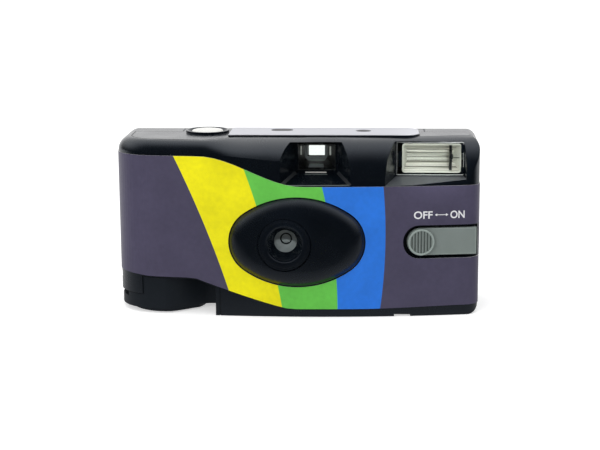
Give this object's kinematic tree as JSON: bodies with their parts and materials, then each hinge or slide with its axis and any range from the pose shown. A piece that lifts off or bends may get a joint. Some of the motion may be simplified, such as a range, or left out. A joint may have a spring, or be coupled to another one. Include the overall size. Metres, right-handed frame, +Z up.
{
  "type": "disposable film camera",
  "caption": "Compact single-use film camera with a striped wrap label, oval lens panel, flash, sliding flash switch, release button, winding wheel and film door.",
  "frame": {"origin": "middle of the flat base", "axes": "+X along the width to the viewer's right, +Y from the lens side to the back, +Z up"},
  "size_m": [0.1184, 0.0373, 0.0581],
  "materials": {
    "black_abs": "fine textured injection moulding",
    "black_frame": "matt injection moulding",
    "wrap_paper": "coated label paper, printed",
    "pale_paper": "coated label paper",
    "clear_acrylic": "clear moulded acrylic",
    "smoke_acrylic": "smoked moulded acrylic",
    "grey_abs": "satin injection moulding",
    "white_abs": "glossy injection moulding",
    "natural_acetal": "natural acetal",
    "spring_steel": "drawn or stamped steel",
    "foil": "bright rolled aluminium",
    "film_base": "coated film",
    "board": "solder-masked laminate",
    "sleeve": "shrunk plastic sleeve",
    "brass_strip": "stamped strip",
    "copper_wire": "wound enamelled wire on a bobbin"
  },
  "bodies": {
    "camera": {"front_cover": "black_abs", "rear_cover": "black_abs", "film_chassis": "black_frame", "front_label": "wrap_paper", "rear_label": "pale_paper", "top_label": "pale_paper", "lens_retainer": "black_abs", "taking_lens": "clear_acrylic", "aperture_plate": "black_frame", "shutter_spring": "spring_steel", "striker_spring": "spring_steel", "counter_lens": "smoke_acrylic", "anti_reverse_pawl": "natural_acetal", "film_cartridge": "spring_steel", "film_strip": "film_base", "viewfinder_front_lens": "clear_acrylic", "viewfinder_eyepiece": "clear_acrylic", "flash_window": "clear_acrylic", "flash_reflector": "foil", "flash_tube": "clear_acrylic", "tube_electrodes": "spring_steel", "trigger_wire": "spring_steel", "flash_board": "board", "flash_capacitor": "sleeve", "flash_transformer": "copper_wire", "sync_contact": "brass_strip", "board_screws": "spring_steel", "battery": "sleeve", "battery_contacts": "spring_steel", "ready_lamp": "smoke_acrylic", "door_pin": "spring_steel"},
    "door": {"film_door": "black_abs"},
    "button": {"shutter_button": "white_abs"},
    "switch": {"flash_switch": "grey_abs", "switch_contact": "brass_strip"},
    "winder": {"thumbwheel": "black_abs", "cartridge_spool": "black_frame"},
    "sprocket": {"sprocket_wheel": "natural_acetal", "cocking_cam": "natural_acetal"},
    "supply": {"takeup_spool": "black_frame", "film_roll": "film_base"},
    "counter": {"counter_disc": "white_abs"},
    "striker": {"striker_lever": "natural_acetal"},
    "blade": {"shutter_blade": "spring_steel"},
    "meter": {"metering_lever": "natural_acetal"}
  },
  "joints": [
    {"name": "door_hinge", "type": "hinge", "parent": "camera", "child": "door", "pos_m": [-0.0575, 0.0045, 0.0048], "axis": [0, 1, 0], "range_deg": [0, 95]},
    {"name": "button_press", "type": "slide", "parent": "camera", "child": "button", "axis": [0, 0, -1], "range_m": [0, 0.0012], "stiffness_N_per_m": 400},
    {"name": "switch_slide", "type": "slide", "parent": "camera", "child": "switch", "axis": [0.9892, 0.1463, 0], "range_m": [0, 0.01]},
    {"name": "wheel_turn", "type": "hinge", "parent": "camera", "child": "winder", "pos_m": [-0.042, 0.00323, 0.0494], "axis": [0, 0, 1], "continuous": true},
    {"name": "sprocket_turn", "type": "hinge", "parent": "camera", "child": "sprocket", "pos_m": [-0.0205, 0.00692, 0.04], "axis": [0, 0, 1], "continuous": true},
    {"name": "supply_turn", "type": "hinge", "parent": "camera", "child": "supply", "pos_m": [0.031, 0.00317, 0.0244], "axis": [0, 0, 1], "continuous": true},
    {"name": "counter_turn", "type": "hinge", "parent": "camera", "child": "counter", "pos_m": [-0.0105, 0.00647, 0.0535], "axis": [0, 0, 1], "continuous": true},
    {"name": "striker_swing", "type": "hinge", "parent": "camera", "child": "striker", "pos_m": [-0.0135, -0.0005, 0.0455], "axis": [0, 0, -1], "range_deg": [0, 30], "stiffness_Nm_per_rad": 0.004},
    {"name": "blade_swing", "type": "hinge", "parent": "camera", "child": "blade", "pos_m": [-0.01, -0.00795, 0.0299], "axis": [0, -1, 0], "range_deg": [0, 50], "stiffness_Nm_per_rad": 0.0005},
    {"name": "meter_swing", "type": "hinge", "parent": "camera", "child": "meter", "pos_m": [-0.02, -0.0035, 0.0482], "axis": [0, 0, 1], "range_deg": [0, 10]}
  ],
  "couplings": [
    {"joint": "sprocket_turn", "follows": "wheel_turn", "ratio": 1.3223},
    {"joint": "supply_turn", "follows": "wheel_turn", "ratio": 0.8333},
    {"joint": "counter_turn", "follows": "wheel_turn", "ratio": -0.0441},
    {"joint": "blade_swing", "follows": "striker_swing", "ratio": 1.6},
    {"joint": "meter_swing", "follows": "button_press", "rad_per_m": 116}
  ]
}
